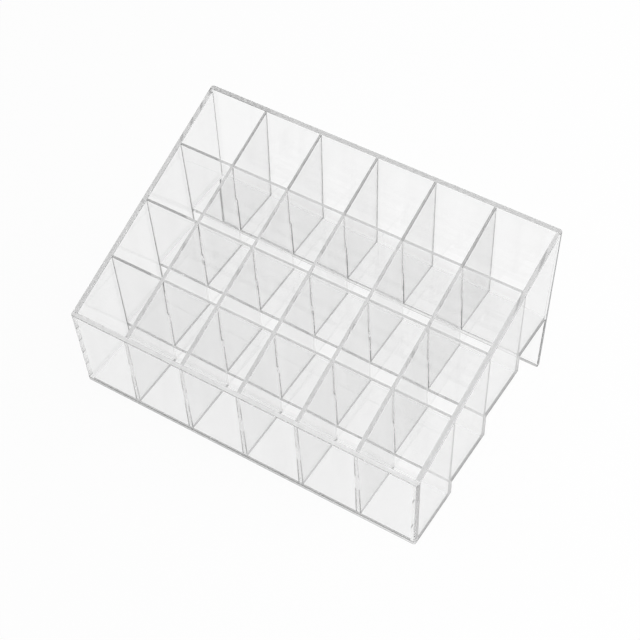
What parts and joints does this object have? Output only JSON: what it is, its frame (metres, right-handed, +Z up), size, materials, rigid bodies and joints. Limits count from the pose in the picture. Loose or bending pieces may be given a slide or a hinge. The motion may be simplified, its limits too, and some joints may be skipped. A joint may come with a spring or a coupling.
{
  "type": "stepped lipstick stand",
  "caption": "Clear stepped vanity organizer with open square cells that rise in rows to the back, for standing lipsticks and slim tubes upright.",
  "frame": {"origin": "on the table, under the middle of the rim's plan", "axes": "+X along the width to the right, +Y from the low front to the high back, +Z up"},
  "size_m": [0.145, 0.0956, 0.071],
  "materials": {
    "outer_wall": "clear, polished",
    "divider": "clear, polished",
    "floor": "clear, polished"
  },
  "bodies": {
    "root": {"back_panel": "outer_wall", "column_divider_1": "divider", "column_divider_2": "divider", "column_divider_3": "divider", "column_divider_4": "divider", "column_divider_5": "divider", "front_panel": "outer_wall", "left_end_panel": "outer_wall", "right_end_panel": "outer_wall", "row_divider_1": "divider", "row_divider_2": "divider", "row_divider_3": "divider", "row_floor_1": "floor", "row_floor_2": "floor", "row_floor_3": "floor", "row_floor_4": "floor"}
  },
  "joints": []
}
